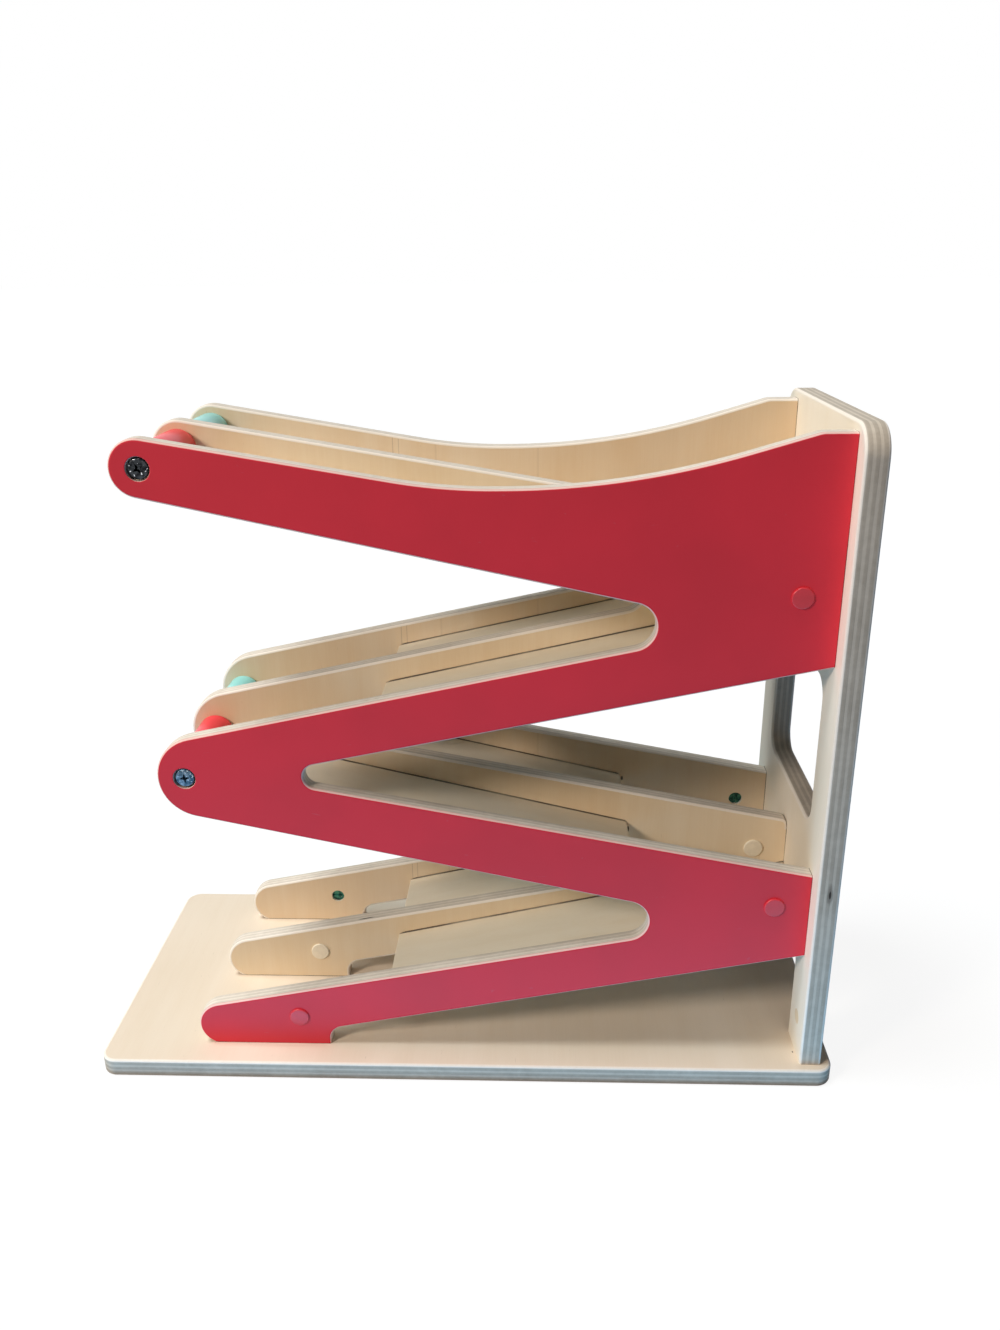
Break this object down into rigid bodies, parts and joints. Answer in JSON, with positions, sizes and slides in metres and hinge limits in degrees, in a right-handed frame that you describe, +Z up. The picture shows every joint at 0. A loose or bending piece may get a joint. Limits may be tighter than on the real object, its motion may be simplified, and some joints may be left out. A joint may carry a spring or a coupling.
{
  "type": "toy car ramp",
  "caption": "Free-standing wooden zigzag ramp in two lanes for small toy cars, with a base board, a windowed back board and round bars at the turns.",
  "frame": {"origin": "centre of the base board's underside", "axes": "+X along the base towards the back board, +Y away from the crimson side, +Z up"},
  "size_m": [0.4, 0.166, 0.351],
  "materials": {
    "birch_plywood": "satin, bare birch plywood with striped edges",
    "crimson_painted_plywood": "satin crimson paint on the outer face, bare rounded edges",
    "aqua_painted_plywood": "satin aqua paint on the outer face, bare rounded edges",
    "ramp_plywood": "satin, thin birch plywood",
    "coral_lacquered_wood": "glossy lacquer",
    "aqua_lacquered_wood": "glossy lacquer",
    "black_steel": "blackened",
    "zinc_steel": "zinc plated",
    "crimson_plastic": "matte",
    "natural_plastic": "matte",
    "aqua_plastic": "matte",
    "dowel_wood": "sanded"
  },
  "bodies": {
    "ramp_frame": {"base_board": "birch_plywood", "back_board": "birch_plywood", "front_side_panel": "crimson_painted_plywood", "middle_side_panel": "birch_plywood", "rear_side_panel": "aqua_painted_plywood", "front_lane_ramp_1": "ramp_plywood", "rear_lane_ramp_1": "ramp_plywood", "front_lane_ramp_2": "ramp_plywood", "rear_lane_ramp_2": "ramp_plywood", "front_lane_ramp_3": "ramp_plywood", "rear_lane_ramp_3": "ramp_plywood", "front_lane_ramp_4": "ramp_plywood", "rear_lane_ramp_4": "ramp_plywood", "upper_tie_bolt": "black_steel", "lower_tie_bolt": "zinc_steel", "upper_sleeve_nut": "zinc_steel", "lower_sleeve_nut": "zinc_steel", "front_hole_caps": "crimson_plastic", "middle_hole_caps": "natural_plastic", "rear_hole_caps": "aqua_plastic", "post_plugs": "dowel_wood", "panel_barrel_nuts": "zinc_steel", "post_barrel_nuts": "zinc_steel", "back_board_bolts": "zinc_steel", "base_bolts": "zinc_steel", "locating_dowels": "dowel_wood"},
    "upper_front_roller_body": {"upper_front_roller": "coral_lacquered_wood"},
    "upper_rear_roller_body": {"upper_rear_roller": "aqua_lacquered_wood"},
    "lower_front_roller_body": {"lower_front_roller": "coral_lacquered_wood"},
    "lower_rear_roller_body": {"lower_rear_roller": "aqua_lacquered_wood"}
  },
  "joints": [
    {"name": "upper_front_roller_turn", "type": "hinge", "parent": "ramp_frame", "child": "upper_front_roller_body", "pos_m": [-0.1411, -0.0324, 0.3319], "axis": [0, 1, 0], "continuous": true},
    {"name": "upper_rear_roller_turn", "type": "hinge", "parent": "ramp_frame", "child": "upper_rear_roller_body", "pos_m": [-0.1411, 0.0276, 0.3319], "axis": [0, 1, 0], "continuous": true},
    {"name": "lower_front_roller_turn", "type": "hinge", "parent": "ramp_frame", "child": "lower_front_roller_body", "pos_m": [-0.1379, -0.0324, 0.175], "axis": [0, 1, 0], "continuous": true},
    {"name": "lower_rear_roller_turn", "type": "hinge", "parent": "ramp_frame", "child": "lower_rear_roller_body", "pos_m": [-0.1379, 0.0276, 0.175], "axis": [0, 1, 0], "continuous": true}
  ]
}
